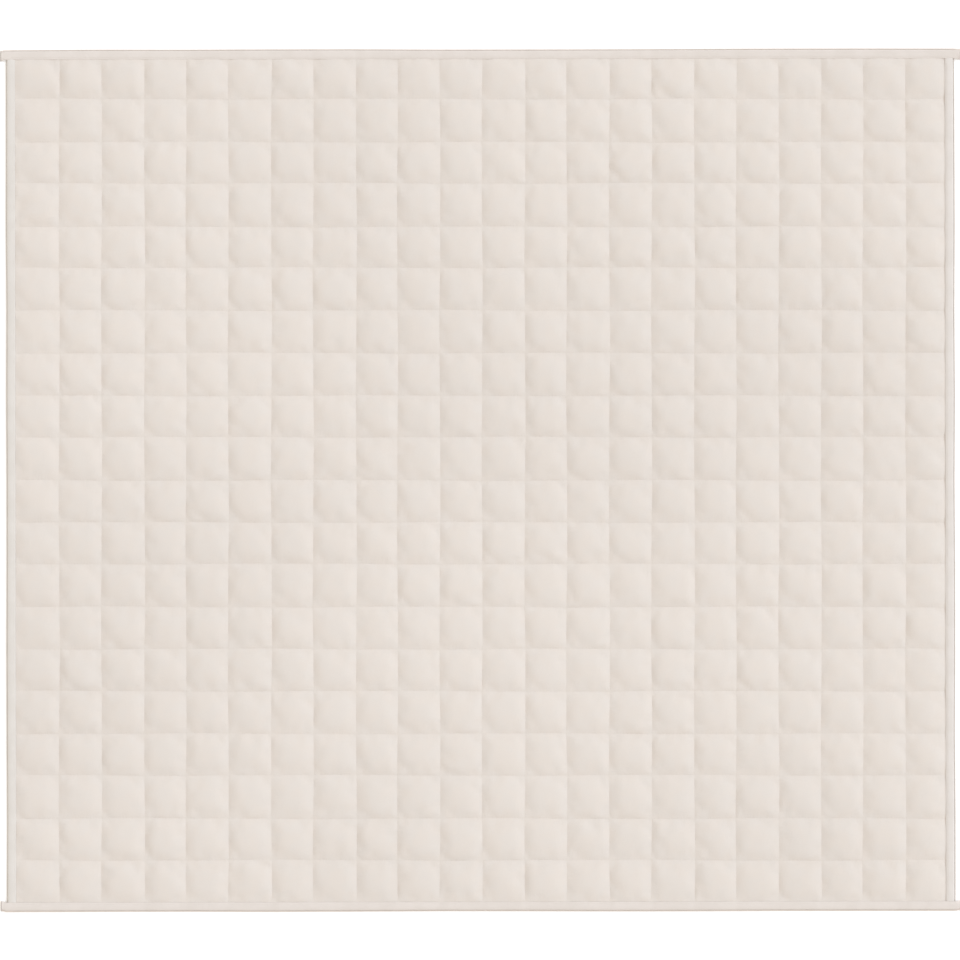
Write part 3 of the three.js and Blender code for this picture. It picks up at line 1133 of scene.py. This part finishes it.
def cover_cloth():
    finish = Finish(
        "brushed quilt cloth",
        {"Sheen Weight": 0.12, "Sheen Roughness": 0.6, "Specular IOR Level": 0.25, "IOR": 1.45},
    )
    point = finish.point()
    x, y = finish.parts(point, "XY")
    clouds = finish.ramp(finish.noise(point, CLOUDS_PER_METRE, 3), *CLOUD_RANGE)
    slow = finish.ramp(finish.noise(point, SLOW_CLOUDS_PER_METRE, 1), *CLOUD_RANGE, SLOW_CLOUD_SHADE, 1.0)
    weave = weave_of(x, y, YARN_PITCH)
    nap = finish.noise(point, NAP_PER_METRE)
    # painted shade: the colour is a little darker where the weave and the nap are lower, in their hollows
    shade = slow * (1 - YARN_SHADE * (1 - weave)) * (1 - NAP_SHADE / 2 + NAP_SHADE * nap)
    colour = finish.mix(clouds, QUILT_WARM, QUILT_COOL)
    colour = finish.mix(1.0, colour, finish.grey(shade), "MULTIPLY")
    gathers = gathers_of(finish, point, x, y) * (GATHER_DEPTH / MM)
    height = gathers + weave * (WEAVE_DEPTH / MM) + nap * (NAP_DEPTH / MM)
    return finish.wear(
        Base_Color=colour,
        Roughness=0.86 + 0.08 * nap,
        Normal=finish.bump(height, strength=0.6, distance=MM),
    )


cover_finish = cover_cloth()
print_nodes(cover_finish)

# %% [markdown]
# ## The binding's cloth
# The strips are cut from a smoother, closer woven cloth of nearly the same cream. Its yarns follow the
# strip round its folds, so the weave reads the strip's own map, in which one side is its length and the
# other its width. The pressed lip is painted a little lighter, a painted light where the roll's shadow
# falls, and the groove behind it and the tabs' ends are painted darker, a painted shade.

# %% Binding cloth
BINDING_LIGHT = (0.775, 0.722, 0.672)
BINDING_SHADE = (0.750, 0.697, 0.645)
BINDING_CLOUDS_PER_METRE = 24
BINDING_YARN_PITCH = 0.7 * MM
BINDING_YARN_DEPTH = 0.06 * MM
BINDING_BRIGHTNESS = 0.97
BINDING_YARN_SHADE = 0.02
FIBRE_PER_METRE = 700
FIBRE_DEPTH = 0.12 * MM
FIBRE_SHADE = 0.02


def tinted(colour, tint):
    return (*(part * share for part, share in zip(colour, tint)), 1)


def binding_cloth(name, strip):
    finish = Finish(
        name,
        {"Sheen Weight": 0.08, "Sheen Roughness": 0.5, "Specular IOR Level": 0.3, "IOR": 1.45},
    )
    point = finish.point()
    on_strip = finish.node("ShaderNodeUVMap", {"uv_map": "UVMap"})
    share_along, share_around = finish.parts(on_strip, "XY")
    weave = weave_of(share_along * cut_length(strip), share_around * float(cut_width), BINDING_YARN_PITCH)
    fibre = finish.noise(point, FIBRE_PER_METRE)
    clouds = finish.ramp(finish.noise(point, BINDING_CLOUDS_PER_METRE, 3), *CLOUD_RANGE)
    # each strip's tint is set to how its side looks under the lamp, so it partly paints light and shade
    # onto the four sides
    shade, light = (tinted(colour, strip["tint"]) for colour in (BINDING_SHADE, BINDING_LIGHT))
    # painted shade: the colour is a little darker where the weave and the fibres are lower, in their
    # hollows
    cloth_shade = BINDING_BRIGHTNESS + BINDING_YARN_SHADE * weave + FIBRE_SHADE * fibre
    # the stored painted shade darkens the colour in the groove and at the tabs' ends, and lightens it on
    # the lip
    shadow = cloth_shade * (1 - finish.stored("painted_shade"))
    colour = finish.mix(1.0, finish.mix(clouds, shade, light), finish.grey(shadow), "MULTIPLY")
    height = weave * (BINDING_YARN_DEPTH / MM) + fibre * (FIBRE_DEPTH / MM)
    return finish.wear(
        Base_Color=colour,
        Roughness=0.78 + 0.1 * fibre,
        Normal=finish.bump(height, strength=0.5, distance=MM),
    )


binding_finish = {side: binding_cloth(side + " binding cloth", strip) for side, strip in strips.items()}
for material in binding_finish.values():
    print_nodes(material)

# %% [markdown]
# ## Thread
# Spun thread is two plies twisted together, so fine slanting ridges run round it, and the grooves between
# them are painted darker, a painted shade. It is slightly glossier than the cloth, and lighter on top
# where the lamp catches it.

# %% Sewing thread
THREAD_CREAM = (0.79, 0.735, 0.675, 1)
THREAD_SHADE = (0.70, 0.64, 0.575, 1)
PLY_PITCH = 0.9 * MM
PLY_SLANT = 1.5
PLY_DEPTH = 0.08 * MM
PLY_PAINTED_SHADE = 0.25
WEAR_PER_METRE = 40
WEAR_CONTRAST = 0.3


def sewing_thread():
    finish = Finish("sewing thread", {"Specular IOR Level": 0.35, "IOR": 1.45})
    point = finish.point()
    x, y, z = finish.parts(point, "XYZ")
    plies = ((x + y + PLY_SLANT * z) * (2 * math.pi / PLY_PITCH)).sine()
    worn = finish.noise(point, WEAR_PER_METRE)
    # painted shade: the colour follows the ply ridges and is darker in the grooves between them; the worn
    # noise is wear
    share = 0.5 + PLY_PAINTED_SHADE * plies + WEAR_CONTRAST * (worn - 0.5)
    return finish.wear(
        Base_Color=finish.mix(share, THREAD_SHADE, THREAD_CREAM),
        Roughness=0.6 + 0.15 * worn,
        Normal=finish.bump(plies * (PLY_DEPTH / MM), strength=0.7, distance=MM),
    )


thread_finish = sewing_thread()
print_nodes(thread_finish)

# %% Giving each piece its finish
def dress(piece, material):
    piece.data.materials.clear()
    piece.data.materials.append(material)


dress(cover, cover_finish)
for side, piece in binding.items():
    dress(piece, binding_finish[side])
for piece in [*thread, *edge_thread.values()]:
    dress(piece, thread_finish)
print(len(bpy.data.materials), "materials")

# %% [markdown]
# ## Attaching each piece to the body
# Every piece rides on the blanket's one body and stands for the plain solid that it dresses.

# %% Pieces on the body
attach(cover, "root")
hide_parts("quilted_body")
for piece in thread:
    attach(piece, "root")
for side, piece in binding.items():
    strip = strips[side]
    stitches = edge_thread[side]
    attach(piece, "root")
    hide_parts("binding_" + side)
    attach(stitches, "root")
    cut_length(strip)
    print(piece.name, "was cut", round(cut_width / MM), "by", round(cut_length(strip) / MM), "mm")

# %% [markdown]
# ## The floor
# A plain pale floor, wide enough to fill every view. It is so evenly lit that it comes out nearly white,
# with only a soft darkening where the binding touches it.

# %% Floor
FLOOR_SIZE = 120
FLOOR_SHADE = (0.95, 0.95, 0.95, 1)
FLOOR_GLOW = 0.16

bpy.ops.object.select_all(action="DESELECT")
bpy.ops.mesh.primitive_plane_add(size=FLOOR_SIZE)
floor = bpy.context.object
floor.name = "floor"
floor_finish = Finish(
    "pale floor",
    {
        "Base Color": FLOOR_SHADE,
        "Roughness": 0.9,
        "Emission Color": (1, 1, 1, 1),
        "Emission Strength": FLOOR_GLOW,
    },
)
dress(floor, floor_finish.material)
